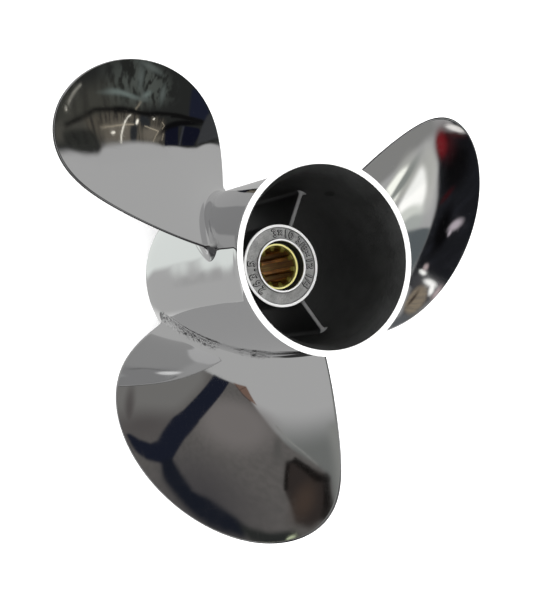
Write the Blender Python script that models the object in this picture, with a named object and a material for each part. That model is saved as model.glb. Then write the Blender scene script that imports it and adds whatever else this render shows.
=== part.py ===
"""Outboard motor propeller with three blades on a through-hub exhaust barrel.

Metres, +Z up. The shaft axis is Z. The aft end, where the exhaust leaves, is up, and the
propeller stands on the fore end of its barrel. The origin is on the shaft axis, in the plane
of that fore end. The real casting is one piece of stainless steel. Here its barrel, diffuser
ring, inner hub, ribs and blades are separate solids with a small clearance between them.
"""

from math import atan2, cos, hypot, pi, radians, sin, sqrt

import bmesh
import bpy
from mathutils import Matrix

# Overall sizes
BLADE_COUNT = 3
TIP_RADIUS = 0.2635 / 2
PITCH = 0.311
BARREL_LENGTH = 0.112
CLEARANCE = 0.0003

# Exhaust barrel and its flared diffuser ring
BARREL_RADIUS = 0.0419
BARREL_WALL = 0.0028
RIM_RADIUS = 0.0451
RIM_WIDTH = 0.0024
RING_HEIGHT = 0.0115
FORE_RADIUS = 0.0412
FORE_TAPER = 0.0120
FORE_CHAMFER = 0.0006
BARREL_SEGMENTS = 96

# Inner hub, seen down the barrel
HUB_RADIUS = 0.0199
HUB_FORE = 0.0105
HUB_AFT = 0.0680
HUB_CAVITY_RADIUS = 0.0166
HUB_MOUTH_RADIUS = 0.0120
HUB_LIP = 0.0045
FACE_RECESS = 0.0005
OUTER_BAND = 0.0012
INNER_BAND = 0.0009
INNER_BAND_RISE = 0.0009
HUB_SEGMENTS = 60

# Rubber bush and brass sleeve
SLEEVE_RADIUS = 0.0110
SLEEVE_RECESS = 0.0035
SLEEVE_FORE_REACH = 0.0012
SPLINE_COUNT = 10
SPLINE_MAJOR = 0.0094
SPLINE_MINOR = 0.0078
FIRST_TOOTH_ANGLE = radians(10)
SLEEVE_MOUTH = 0.0102
MOUTH_CHAMFER = 0.0012
BUSH_FORE_STEP = 0.0008

# Ribs between the inner hub and the barrel
RIB_ANGLE = radians(35.6)
RIB_THICKNESS = 0.0022
RIB_FORE = 0.0125
RIB_AFT = 0.0645
RIB_BEVEL = 0.0004

# Blade: each section is laid out on a cylinder about the shaft. Angles are measured about the
# shaft, and each tuple holds the factors of 1, r^2, r^4 and so on, with r the share of the tip
# radius.
HALF_WIDTH = tuple(radians(a) for a in (40.6, 12.5, -11.3))
SKEW = tuple(radians(a) for a in (-19.3, -24.3, 62.5, -26.3))
REFERENCE_SHARE = 0.7
REFERENCE_HEIGHT = 0.0678
RAKE = 0.0120
ROOT_THICKNESS = 0.0085
TIP_THICKNESS = 0.0022
EDGE_THICKNESS = 0.0014
NOSE_LENGTH = 0.0016
ROOT_FILLET = 0.0050
CHORD_STEPS = 20
RADIAL_STEPS = 14
FILLET_STEPS = 4
ROOT_CAP_STEPS = 6
TIP_GAP_SHARE = 0.015

# Colour, roughness and metallic value of each finish
POLISHED_STEEL = ((0.72, 0.72, 0.73), 0.05, 1.0)
CAST_STEEL = ((0.36, 0.36, 0.35), 0.45, 0.8)
DARK_CASTING = ((0.035, 0.036, 0.038), 0.65, 0.2)
BLACK_RUBBER = ((0.02, 0.02, 0.02), 0.7, 0.0)
YELLOW_BRASS = ((0.66, 0.47, 0.16), 0.28, 1.0)


def clear_scene():
    for obj in list(bpy.data.objects):
        bpy.data.objects.remove(obj, do_unlink=True)


def finish_material(name, finish):
    colour, roughness, metallic = finish
    material = bpy.data.materials.new(name)
    material.use_nodes = True
    shader = material.node_tree.nodes["Principled BSDF"]
    shader.inputs["Base Color"].default_value = (*colour, 1)
    shader.inputs["Roughness"].default_value = roughness
    shader.inputs["Metallic"].default_value = metallic
    material.diffuse_color = (*colour, 1)
    return material


def add_part(name, bm, finish, smooth_angle=radians(35)):
    bmesh.ops.recalc_face_normals(bm, faces=bm.faces)
    mesh = bpy.data.meshes.new(name)
    bm.to_mesh(mesh)
    bm.free()
    mesh.shade_smooth()
    mesh.set_sharp_from_angle(angle=smooth_angle)
    mesh.materials.append(finish_material(name, finish))
    obj = bpy.data.objects.new(name, mesh)
    bpy.context.scene.collection.objects.link(obj)
    return obj


def turned(name, profile, segments, finish):
    """A ring turned about Z from a closed profile of (radius, height) points."""
    bm = bmesh.new()
    points = [bm.verts.new((radius, 0, height)) for radius, height in profile]
    for first, second in zip(points, points[1:] + points[:1]):
        bm.edges.new((first, second))
    bmesh.ops.spin(
        bm,
        geom=bm.verts[:] + bm.edges[:],
        cent=(0, 0, 0),
        axis=(0, 0, 1),
        angle=2 * pi,
        steps=segments,
        use_merge=True,
    )
    bmesh.ops.remove_doubles(bm, verts=bm.verts, dist=1e-6)
    return add_part(name, bm, finish)


def barrel():
    inner = BARREL_RADIUS - BARREL_WALL
    top = BARREL_LENGTH - RING_HEIGHT - CLEARANCE
    profile = [
        (inner + FORE_CHAMFER, 0),
        (FORE_RADIUS - FORE_CHAMFER, 0),
        (FORE_RADIUS, FORE_CHAMFER),
        (BARREL_RADIUS, FORE_TAPER),
        (BARREL_RADIUS, top),
        (inner, top),
        (inner, FORE_CHAMFER),
    ]
    return turned("barrel", profile, BARREL_SEGMENTS, POLISHED_STEEL)


def flare(share):
    """How far the ring has opened at this share of its height."""
    return (RIM_RADIUS - BARREL_RADIUS) * share**2


def diffuser_ring():
    steps = 6
    base = BARREL_LENGTH - RING_HEIGHT
    shares = [step / steps for step in range(steps + 1)]
    outside = [(BARREL_RADIUS + flare(s), base + RING_HEIGHT * s) for s in shares]
    walls = [BARREL_WALL + (RIM_WIDTH - BARREL_WALL) * s for s in shares]
    inside = [(radius - wall, height) for (radius, height), wall in zip(outside, walls)]
    return turned("diffuser_ring", outside + inside[::-1], BARREL_SEGMENTS, POLISHED_STEEL)


def inner_hub():
    outer_floor = HUB_AFT - FACE_RECESS
    inner_top = HUB_AFT + INNER_BAND_RISE
    profile = [
        (HUB_CAVITY_RADIUS, HUB_FORE),
        (HUB_RADIUS, HUB_FORE),
        (HUB_RADIUS, HUB_AFT),
        (HUB_RADIUS - OUTER_BAND, HUB_AFT),
        (HUB_RADIUS - OUTER_BAND, outer_floor),
        (HUB_MOUTH_RADIUS + INNER_BAND, inner_top - FACE_RECESS),
        (HUB_MOUTH_RADIUS + INNER_BAND, inner_top),
        (HUB_MOUTH_RADIUS, inner_top),
        (HUB_MOUTH_RADIUS, HUB_AFT - HUB_LIP),
        (HUB_CAVITY_RADIUS, HUB_AFT - HUB_LIP),
    ]
    return turned("inner_hub", profile, HUB_SEGMENTS, CAST_STEEL)


def rubber_bush():
    inner = SLEEVE_RADIUS + CLEARANCE
    outer = HUB_CAVITY_RADIUS - CLEARANCE
    low = HUB_FORE + BUSH_FORE_STEP
    high = HUB_AFT - HUB_LIP - CLEARANCE
    profile = [(inner, low), (outer, low), (outer, high), (inner, high)]
    return turned("rubber_bush", profile, HUB_SEGMENTS, BLACK_RUBBER)


def spline_radius(place):
    """Radius of the splined bore at this share of one spline pitch, 0 at a groove's middle."""
    from_middle = min(place % 1, 1 - place % 1)
    groove_edge, tooth_edge = 0.26, 0.33
    share = (from_middle - groove_edge) / (tooth_edge - groove_edge)
    return SPLINE_MAJOR + (SPLINE_MINOR - SPLINE_MAJOR) * min(max(share, 0), 1)


def spline_sleeve():
    places = (0, 0.13, 0.26, 0.33, 0.415, 0.5, 0.585, 0.67, 0.74, 0.87)
    turns = [(tooth + place, spline_radius(place)) for tooth in range(SPLINE_COUNT) for place in places]
    low = HUB_FORE - SLEEVE_FORE_REACH
    high = HUB_AFT - SLEEVE_RECESS
    bm = bmesh.new()

    def ring(height, radius_of):
        loop = []
        for turn, splined in turns:
            angle = FIRST_TOOTH_ANGLE + 2 * pi * (turn - 0.5) / SPLINE_COUNT
            radius = radius_of(splined)
            loop.append(bm.verts.new((radius * cos(angle), radius * sin(angle), height)))
        return loop

    loops = [
        ring(low, lambda splined: SLEEVE_MOUTH),
        ring(low, lambda splined: SLEEVE_RADIUS),
        ring(high, lambda splined: SLEEVE_RADIUS),
        ring(high, lambda splined: SLEEVE_MOUTH),
        ring(high - MOUTH_CHAMFER, lambda splined: splined),
        ring(low + MOUTH_CHAMFER, lambda splined: splined),
    ]
    join_loops(bm, loops + loops[:1])
    return add_part("spline_sleeve", bm, YELLOW_BRASS)


def join_loops(bm, loops):
    """Quads between each closed loop of vertices and the next."""
    for lower, upper in zip(loops, loops[1:]):
        count = len(lower)
        for i in range(count):
            j = (i + 1) % count
            bm.faces.new((lower[i], lower[j], upper[j], upper[i]))


def rib(number):
    inner = HUB_RADIUS + CLEARANCE
    half = RIB_THICKNESS / 2
    outer = sqrt((BARREL_RADIUS - BARREL_WALL - CLEARANCE) ** 2 - half**2)
    bm = bmesh.new()
    bmesh.ops.create_cube(bm, size=1)
    size = (outer - inner, RIB_THICKNESS, RIB_AFT - RIB_FORE)
    bmesh.ops.scale(bm, vec=size, verts=bm.verts)
    middle = ((outer + inner) / 2, 0, (RIB_AFT + RIB_FORE) / 2)
    bmesh.ops.translate(bm, vec=middle, verts=bm.verts)
    edges = [e for e in bm.edges if abs(e.verts[0].co.x - e.verts[1].co.x) > half]
    bmesh.ops.bevel(bm, geom=edges, offset=RIB_BEVEL, segments=2, affect="EDGES", profile=0.5)
    angle = RIB_ANGLE + 2 * pi * (number - 1) / BLADE_COUNT
    bmesh.ops.rotate(bm, cent=(0, 0, 0), matrix=Matrix.Rotation(angle, 3, "Z"), verts=bm.verts)
    return add_part(f"rib_{number}", bm, DARK_CASTING)


def even_series(factors, share):
    return sum(factor * share ** (2 * power) for power, factor in enumerate(factors))


class Section:
    """One blade section on the cylinder whose radius is this share of the tip radius.

    Places on it are a chord place, -1 at the leading edge and 1 at the trailing edge, and a
    distance off the pressure face, positive towards aft. grow thickens it all round, which
    makes the fillet at the root.
    """

    def __init__(self, share, grow=0.0):
        self.radius = share * TIP_RADIUS
        self.half_angle = sqrt(1 - share**2) * even_series(HALF_WIDTH, share)
        self.skew = even_series(SKEW, share)
        self.height = REFERENCE_HEIGHT + RAKE * (share - REFERENCE_SHARE)
        self.pitch_angle = atan2(PITCH, 2 * pi * self.radius)
        self.half_chord = self.half_angle * hypot(self.radius, PITCH / (2 * pi))
        self.thickness = ROOT_THICKNESS + (TIP_THICKNESS - ROOT_THICKNESS) * share
        self.grow = grow

    def point(self, place, off):
        angle = self.skew + place * self.half_angle
        height = self.height + PITCH / (2 * pi) * angle + off * cos(self.pitch_angle)
        angle -= off * sin(self.pitch_angle) / self.radius
        return self.radius * cos(angle), self.radius * sin(angle), height

    def column(self, step, rows):
        """Points from the pressure face to the suction face at one step along the chord."""
        reach = 1 + self.grow / self.half_chord
        place = cos(pi * step / CHORD_STEPS)
        nose = (NOSE_LENGTH + self.grow) / (self.half_chord + self.grow)
        into_nose = max(0, (abs(place) - (1 - nose)) / nose)
        fullness = sqrt(max(0, 1 - into_nose**2))
        swell = (self.thickness - EDGE_THICKNESS) * (1 - place**2) ** 0.75
        middle = -EDGE_THICKNESS / 2
        pressure = middle + fullness * (self.grow - middle)
        suction = middle - fullness * (EDGE_THICKNESS / 2 + swell + self.grow)
        count = rows if fullness > 0 else 0
        offs = [pressure + (suction - pressure) * row / max(count, 1) for row in range(count + 1)]
        return [self.point(place * reach, off) for off in offs]

    def columns(self, rows):
        return [self.column(step, rows) for step in range(CHORD_STEPS + 1)]


def blade_sections():
    """The root fillet's sections, then those out to the tip."""
    root = (BARREL_RADIUS + CLEARANCE) / TIP_RADIUS
    fillet_end = root + ROOT_FILLET / TIP_RADIUS
    sections = []
    for step in range(FILLET_STEPS):
        out = ROOT_FILLET * (1 - cos(pi / 2 * step / FILLET_STEPS))
        grow = ROOT_FILLET - sqrt(ROOT_FILLET**2 - (ROOT_FILLET - out) ** 2)
        sections.append(Section(root + out / TIP_RADIUS, grow))
    for step in range(RADIAL_STEPS + 1):
        left = max(1 - step / RADIAL_STEPS, TIP_GAP_SHARE)
        sections.append(Section(1 - (1 - fillet_end) * left**2))
    return sections


def add_grid(bm, columns, flip=False):
    """Faces over a cap. Each column of vertices joins the next, and a column of one is a nose."""
    for first, second in zip(columns, columns[1:]):
        rows = max(len(first), len(second)) - 1
        for row in range(rows):
            corners = [
                first[min(row, len(first) - 1)],
                second[min(row, len(second) - 1)],
                second[min(row + 1, len(second) - 1)],
                first[min(row + 1, len(first) - 1)],
            ]
            corners = list(dict.fromkeys(corners))
            bm.faces.new(corners[::-1] if flip else corners)


def rim_of(columns):
    """The closed loop round a section: down the pressure face and back up the suction face."""
    pressure = [column[0] for column in columns]
    suction = [column[-1] for column in columns[1:-1]]
    return pressure + suction[::-1]


def blade(number):
    sections = blade_sections()
    bm = bmesh.new()
    grids = []
    for index, section in enumerate(sections):
        rows = ROOT_CAP_STEPS if index == 0 else 1
        grids.append([[bm.verts.new(p) for p in column] for column in section.columns(rows)])
    join_loops(bm, [rim_of(grid) for grid in grids])
    add_grid(bm, grids[0])
    add_grid(bm, grids[-1], flip=True)
    angle = 2 * pi * (number - 1) / BLADE_COUNT
    bmesh.ops.rotate(bm, cent=(0, 0, 0), matrix=Matrix.Rotation(angle, 3, "Z"), verts=bm.verts)
    return add_part(f"blade_{number}", bm, POLISHED_STEEL)


def main():
    clear_scene()
    barrel()
    diffuser_ring()
    inner_hub()
    rubber_bush()
    spline_sleeve()
    for number in range(1, BLADE_COUNT + 1):
        rib(number)
        blade(number)


main()
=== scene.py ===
"""Looks of the outboard propeller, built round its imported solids.

Metres, +Z up, in the frame of the CAD. The shaft axis is Z and the exhaust end is up.
"""

from functools import reduce
from math import cos, pi, radians, sin, tan, tau
from operator import add, mul
from types import SimpleNamespace

import bpy
from mathutils import Euler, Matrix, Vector

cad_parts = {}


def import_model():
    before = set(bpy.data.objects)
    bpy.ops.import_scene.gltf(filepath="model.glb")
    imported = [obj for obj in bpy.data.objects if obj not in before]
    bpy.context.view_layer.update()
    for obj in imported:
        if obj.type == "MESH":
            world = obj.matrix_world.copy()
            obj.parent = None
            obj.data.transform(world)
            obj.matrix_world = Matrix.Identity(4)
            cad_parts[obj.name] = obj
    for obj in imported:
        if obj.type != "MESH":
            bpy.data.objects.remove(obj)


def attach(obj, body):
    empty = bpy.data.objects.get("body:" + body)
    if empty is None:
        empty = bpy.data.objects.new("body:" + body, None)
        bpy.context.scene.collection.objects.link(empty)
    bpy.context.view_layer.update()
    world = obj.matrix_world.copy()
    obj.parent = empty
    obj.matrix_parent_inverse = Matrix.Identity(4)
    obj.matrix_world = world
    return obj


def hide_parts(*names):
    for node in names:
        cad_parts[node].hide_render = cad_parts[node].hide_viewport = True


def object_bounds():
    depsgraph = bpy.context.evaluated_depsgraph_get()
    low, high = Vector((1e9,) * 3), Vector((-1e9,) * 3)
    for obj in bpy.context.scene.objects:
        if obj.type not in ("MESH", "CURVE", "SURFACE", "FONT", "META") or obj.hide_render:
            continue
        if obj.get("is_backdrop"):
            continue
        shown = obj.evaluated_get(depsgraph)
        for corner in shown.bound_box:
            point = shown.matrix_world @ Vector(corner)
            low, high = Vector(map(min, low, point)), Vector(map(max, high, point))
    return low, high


# Sizes, as in the solids but for the rim and the outer band, which are a little broader
BLADE_COUNT = 3
TIP_RADIUS = 0.2635 / 2
PITCH = 0.311
BARREL_LENGTH = 0.112
BARREL_RADIUS = 0.0419
BARREL_WALL = 0.0028
RIM_RADIUS = 0.04535
RIM_WIDTH = 0.00285
RING_HEIGHT = 0.0115
FORE_RADIUS = 0.0412
FORE_TAPER = 0.0120
HUB_RADIUS = 0.0199
HUB_FORE = 0.0105
HUB_AFT = 0.0680
HUB_CAVITY_RADIUS = 0.0166
HUB_MOUTH_RADIUS = 0.0120
HUB_LIP = 0.0045
OUTER_BAND = 0.0013
INNER_BAND = 0.0009
INNER_BAND_RISE = 0.0009
SLEEVE_RADIUS = 0.0110
SLEEVE_AFT = 0.0645
SLEEVE_FORE = 0.0093
SPLINE_COUNT = 10
SPLINE_MAJOR = 0.0094
SPLINE_MINOR = 0.0078
FIRST_TOOTH_ANGLE = radians(10)
SLEEVE_MOUTH = 0.0102
RIB_ANGLE = radians(35.6)
RIB_THICKNESS = 0.0022
RIB_FORE = 0.0125
RIB_AFT = 0.0645
HALF_WIDTH = tuple(radians(a) for a in (40.6, 12.5, -11.3))
SKEW = tuple(radians(a) for a in (-19.3, -24.3, 62.5, -26.3))
REFERENCE_SHARE = 0.7
REFERENCE_HEIGHT = 0.0678
RAKE = 0.0120
ROOT_THICKNESS = 0.0085
TIP_THICKNESS = 0.0022
EDGE_THICKNESS = 0.0011
NOSE_LENGTH = 0.0008
ROOT_FILLET = 0.0050

# Meshes
MERGE_DISTANCE = 1e-6
BARREL_SEGMENTS = 360
HUB_SEGMENTS = 180
BUSH_SEGMENTS = 120
TURNED_SHARP_ANGLE = radians(28)
SLEEVE_SHARP_ANGLE = radians(35)
RIM_EDGE = 0.00022
BAND_EDGE = 0.00015

# The dark oval on the barrel's inner wall
MARK_ANGLE = radians(146.5)
MARK_HEIGHT = 0.0815
MARK_HALF_WIDTH = 0.0021
MARK_HALF_HEIGHT = 0.0050

# Finishes
STEEL = (0.74, 0.74, 0.745)
PAINTED_EDGE_SHADE = (0.12, 0.12, 0.125)
GROUND_MARK_AND_SHADE = (0.16, 0.16, 0.165)
WHITE = (1.0, 1.0, 1.0)
BRASS_DEPTH = 0.012

# Studio
FLOOR_REACH = 6.0
FLOOR_GLOW = 0.22
LAMP_SIZE = 2.2
LAMP_ENERGY = 3.0
LAMP_PLACE = (-0.5, -0.9, 1.5)
LAMP_TARGET = (0.0, 0.0, 0.05)
HALL_SHADE = (0.47, 0.47, 0.465)
PAPER_SIDES = (1.8, 1.8, 1.8)
PAPER_TOP = (2.35, 2.35, 2.35)

# The photograph's camera
CAMERA_PLACE = (0.05030, -0.35986, 0.73366)
CAMERA_TURN = (4.6758, -27.5146, 85.4283)
CAMERA_LENS = 94.755
SENSOR = 36.0


class Wire:
    """An output socket. Python's operators on it add the Math nodes that work them out."""

    def __init__(self, graph, socket):
        self.graph = graph
        self.socket = socket

    def maths(self, operation, *values, **settings):
        return self.graph.add("ShaderNodeMath", {"operation": operation, **settings}, *values)

    def other(self, name):
        """Another output of the node that this wire comes out of."""
        return Wire(self.graph, self.socket.node.outputs[name])

    def __neg__(self):
        return self.maths("MULTIPLY", self, -1.0)

    def __abs__(self):
        return self.maths("ABSOLUTE", self)

    def sin(self):
        return self.maths("SINE", self)

    def cos(self):
        return self.maths("COSINE", self)

    def sqrt(self):
        return self.maths("SQRT", self.at_least(0.0))

    def above(self, value):
        """1 where it is above the value, and 0 elsewhere."""
        return self.maths("GREATER_THAN", self, value)

    def at_least(self, value):
        return self.maths("MAXIMUM", self, value)

    def clamped(self):
        """Held between 0 and 1."""
        return self.maths("ADD", self, 0.0, use_clamp=True)

    def step(self, low, high):
        """0 below low, 1 above high, and a smooth rise between them."""
        settings = {"interpolation_type": "SMOOTHSTEP", "clamp": False}
        return self.graph.add("ShaderNodeMapRange", settings, self, low, high, 0.0, 1.0)


def operator_method(operation, turned_round):
    """A method of Wire for one of Python's operators."""
    if turned_round:
        return lambda wire, value: wire.maths(operation, value, wire)
    return lambda wire, value: wire.maths(operation, wire, value)


for sign, operation in (
    ("add", "ADD"), ("sub", "SUBTRACT"), ("mul", "MULTIPLY"), ("truediv", "DIVIDE"), ("pow", "POWER")
):
    setattr(Wire, f"__{sign}__", operator_method(operation, False))
    setattr(Wire, f"__r{sign}__", operator_method(operation, True))


class Graph:
    """A node tree that is being filled."""

    def __init__(self, tree):
        self.tree = tree
        tree.nodes.clear()

    def add(self, kind, settings=None, *values, **sockets):
        """Adds a node and gives its first output. The settings are set before its sockets.

        Values go to its sockets in order, and keywords to the sockets with those names.
        """
        node = self.tree.nodes.new(kind)
        for key, setting in (settings or {}).items():
            if key == "stops":
                set_stops(node.color_ramp, setting)
            else:
                setattr(node, key, setting)
        open_inputs = [socket for socket in node.inputs if socket.enabled]
        for socket, value in zip(open_inputs, values):
            self.feed(socket, value)
        by_name = {socket.name.lower().replace(" ", "_"): socket for socket in reversed(open_inputs)}
        for name, value in sockets.items():
            self.feed(by_name[name], value)
        outputs = [socket for socket in node.outputs if socket.enabled]
        return Wire(self, outputs[0]) if outputs else node

    def feed(self, socket, value):
        """Links a wire to a socket, or sets the socket to a value. A colour is three numbers."""
        if isinstance(value, Wire):
            self.tree.links.new(value.socket, socket)
        elif value is not None:
            socket.default_value = (*value, 1.0) if socket.type == "RGBA" else value

    def vector(self, x, y, z):
        return self.add("ShaderNodeCombineXYZ", None, x, y, z)

    def blend(self, share, first, second, kind="RGBA"):
        return self.add("ShaderNodeMix", {"data_type": kind}, share, first, second)

    def dot(self, first, second):
        product = self.add("ShaderNodeVectorMath", {"operation": "DOT_PRODUCT"}, first, second)
        return product.other("Value")

    def noise(self, place, scale, detail=2.0, roughness=0.5):
        sizes = {"scale": scale, "detail": detail, "roughness": roughness}
        return self.add("ShaderNodeTexNoise", None, place, **sizes)


def set_stops(ramp, stops):
    while len(ramp.elements) < len(stops):
        ramp.elements.new(1.0)
    for element, (place, colour) in zip(ramp.elements, stops):
        element.position = place
        element.color = (*colour, 1.0)


class Finish(Graph):
    """A material with one Principled shader."""

    def __init__(self, name, colour, roughness, metallic):
        self.material = bpy.data.materials.new(name)
        self.material.use_nodes = True
        super().__init__(self.material.node_tree)
        shader = self.add("ShaderNodeBsdfPrincipled", None, metallic=metallic)
        self.shader = shader.socket.node
        self.add("ShaderNodeOutputMaterial", None, shader)
        self.place = self.add("ShaderNodeTexCoord").other("Object")
        self.set("Base Color", colour)
        self.set("Roughness", roughness)

    def set(self, socket, value):
        self.feed(self.shader.inputs[socket], value)

    def parts(self):
        """X, Y and Z of the place on the piece."""
        first = self.add("ShaderNodeSeparateXYZ", None, self.place)
        return first, first.other("Y"), first.other("Z")

    def radius(self):
        x, y, _ = self.parts()
        return (x * x + y * y).sqrt()

    def bump(self, height, distance):
        return self.add("ShaderNodeBump", None, strength=1.0, distance=distance, height=height)

    def attribute(self, name):
        return self.add("ShaderNodeAttribute", {"attribute_name": name}).other("Fac")


def polished_steel(name="polished_steel", wave_height=0.0005):
    """Mirror polish with a faint long wave, hairline wipe marks and a film of handling."""
    finish = Finish(name, STEEL, 0.05, 1.0)
    x, y, z = finish.parts()
    film = finish.noise(finish.place, 38.0, 4.0, 0.6).step(0.42, 0.75)
    hairs = finish.noise(finish.vector(x * 2600.0, y * 120.0, z * 120.0), 1.0, 1.0).step(0.62, 0.74)
    crossed = finish.noise(finish.vector(x * 140.0, y * 2300.0, z * 500.0), 1.0, 1.0).step(0.64, 0.76)
    finish.film = 0.03 + 0.035 * film + 0.03 * (hairs + crossed)
    finish.wave = finish.noise(finish.place, 24.0, 1.0, 0.4) * wave_height
    finish.set("Roughness", finish.film)
    finish.set("Normal", finish.bump(finish.wave, 1.0))
    return finish


def blade_steel():
    """Polished steel with painted shade darkening its rounded edge, and the grinder's marks left in one
    root's fillet, partly painted as dark reflections, with painted white glints.
    """
    finish = polished_steel("blade_steel", 0.0002)
    fillet = finish.attribute("fillet")
    along = finish.attribute("chordwise")
    ground = fillet.step(0.04, 0.4) * (1.0 - fillet.step(0.86, 0.98))
    x, y, z = finish.parts()
    patches = finish.noise(finish.place, 55.0, 2.0).step(0.36, 0.56)
    patches = patches * (1.0 - along.step(0.72, 0.95))
    ground = ground * patches * x.step(0.012, 0.02) * (1.0 - y.step(-0.012, -0.002))
    chatter = finish.noise(finish.vector(along * 26.0, fillet * 5.0, z * 60.0), 1.0, 3.0, 0.62)
    # Painted shade: the blade's rounded edge is darkened in colour.
    edge = 1.0 - finish.attribute("edge").step(0.55, 1.0)
    steel = finish.blend(edge, STEEL, PAINTED_EDGE_SHADE)
    # Painted reflections: the grinder's marks are darkened in colour, and the white flecks among them are
    # painted glints.
    marks_and_painted_shade = finish.blend(ground * chatter.step(0.52, 0.62), steel, GROUND_MARK_AND_SHADE)
    bright = ground * (1.0 - chatter.step(0.32, 0.42))
    finish.set("Base Color", finish.blend(bright, marks_and_painted_shade, WHITE))
    finish.set("Roughness", finish.film + 0.07 * ground)
    finish.set("Normal", finish.bump(finish.wave + chatter * ground * 0.0012, 1.0))
    return finish


def machined_steel():
    """Bright rim and bands with the lathe tool's fine rings."""
    finish = Finish("machined_steel", (0.93, 0.93, 0.93), 0.3, 0.35)
    z = finish.parts()[2]
    rings = finish.noise(finish.vector(finish.radius() * 9000.0, z * 9000.0, 0.0), 1.0, 2.0, 0.7)
    stain = finish.noise(finish.place, 160.0, 3.0).step(0.45, 0.8)
    finish.set("Base Color", finish.blend(stain, (0.94, 0.94, 0.93), (0.86, 0.86, 0.86)))
    finish.set("Roughness", 0.26 + 0.12 * rings)
    finish.set("Normal", finish.bump(rings, 0.00001))
    return finish


def dark_casting(name="dark_casting"):
    """Sooty as-cast steel down the barrel, with a sandy skin."""
    finish = Finish(name, (0.02, 0.02, 0.022), 0.7, 0.0)
    sand = finish.noise(finish.place, 1500.0, 3.0, 0.65)
    soot = finish.noise(finish.place, 60.0, 4.0, 0.6)
    shade = (sand * 0.45 + soot * 0.55).step(0.32, 0.68)
    finish.tone = finish.blend(shade, (0.0072, 0.0075, 0.0072), (0.021, 0.022, 0.0215))
    finish.set("Base Color", finish.tone)
    finish.set("Roughness", 0.62 + 0.25 * sand)
    finish.set("Normal", finish.bump(sand * 0.00009 + soot * 0.0003, 1.0))
    return finish


def barrel_inside():
    """The dark casting, with a small oval mark on one side of the wall."""
    finish = dark_casting("barrel_inside")
    x, y, z = finish.parts()
    aside = (y * cos(MARK_ANGLE) - x * sin(MARK_ANGLE)) / MARK_HALF_WIDTH
    up = (z - MARK_HEIGHT) / MARK_HALF_HEIGHT
    here = 1.0 - (aside * aside + up * up).step(0.5, 1.0)
    here = here * (x * cos(MARK_ANGLE) + y * sin(MARK_ANGLE)).above(0.0)
    finish.set("Base Color", finish.blend(here, finish.tone, (0.0012, 0.0012, 0.0012)))
    return finish


def rib_steel():
    """The dark casting on the ribs' sides, with a painted highlight along their aft edges."""
    finish = Finish("rib_steel", (0.02, 0.02, 0.022), 0.6, 0.0)
    z = finish.parts()[2]
    sand = finish.noise(finish.place, 1500.0, 3.0, 0.65)
    soot = finish.noise(finish.place, 90.0, 3.0, 0.6)
    # Painted highlight: the ribs' aft edges are lightened in colour where they catch the light.
    edge = z.step(RIB_AFT - 0.0011, RIB_AFT - 0.0003)
    wear_and_highlight = edge * (0.55 + 0.6 * soot).clamped()
    dark = finish.blend(soot, (0.006, 0.006, 0.007), (0.020, 0.020, 0.022))
    finish.set("Base Color", finish.blend(wear_and_highlight, dark, (0.20, 0.20, 0.20)))
    finish.set("Roughness", 0.68 - 0.25 * wear_and_highlight)
    finish.set("Normal", finish.bump(sand * 0.00008, 1.0))
    return finish


def cast_face():
    """Sand-cast grey between the bright bands, with darker specks in its pits, and painted shade along the
    feet of the bands.
    """
    finish = Finish("cast_face", (0.5, 0.5, 0.495), 0.5, 0.6)
    grain = finish.noise(finish.place, 1900.0, 3.0, 0.7)
    patches = finish.noise(finish.place, 240.0, 2.0)
    light = (grain * 0.65 + patches * 0.35).step(0.34, 0.66)
    cast = finish.blend(light, (0.32, 0.32, 0.315), (0.58, 0.58, 0.57))
    radius = finish.radius()
    # Painted shade: the cast face is darkened along the feet of both bands.
    dirt = 0.0006
    painted_foot_shade = 1.0 - radius.step(HUB_MOUTH_RADIUS + INNER_BAND, HUB_MOUTH_RADIUS + INNER_BAND + dirt)
    painted_foot_shade = painted_foot_shade + radius.step(HUB_RADIUS - OUTER_BAND - dirt, HUB_RADIUS - OUTER_BAND)
    finish.set("Base Color", finish.blend(painted_foot_shade * 0.85, cast, (0.03, 0.03, 0.03)))
    finish.set("Roughness", 0.42 + 0.25 * grain)
    finish.set("Normal", finish.bump(grain, 0.00012))
    return finish


def black_rubber():
    """Moulded rubber with a fine bloom and shallow pits."""
    finish = Finish("black_rubber", (0.012, 0.012, 0.013), 0.6, 0.0)
    skin = finish.noise(finish.place, 1300.0, 3.0, 0.6)
    bloom = finish.noise(finish.place, 220.0, 3.0, 0.6).step(0.4, 0.7)
    finish.set("Base Color", finish.blend(bloom, (0.009, 0.009, 0.010), (0.030, 0.030, 0.030)))
    finish.set("Roughness", 0.5 + 0.3 * skin)
    finish.set("Normal", finish.bump(skin, 0.00005))
    return finish


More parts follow.
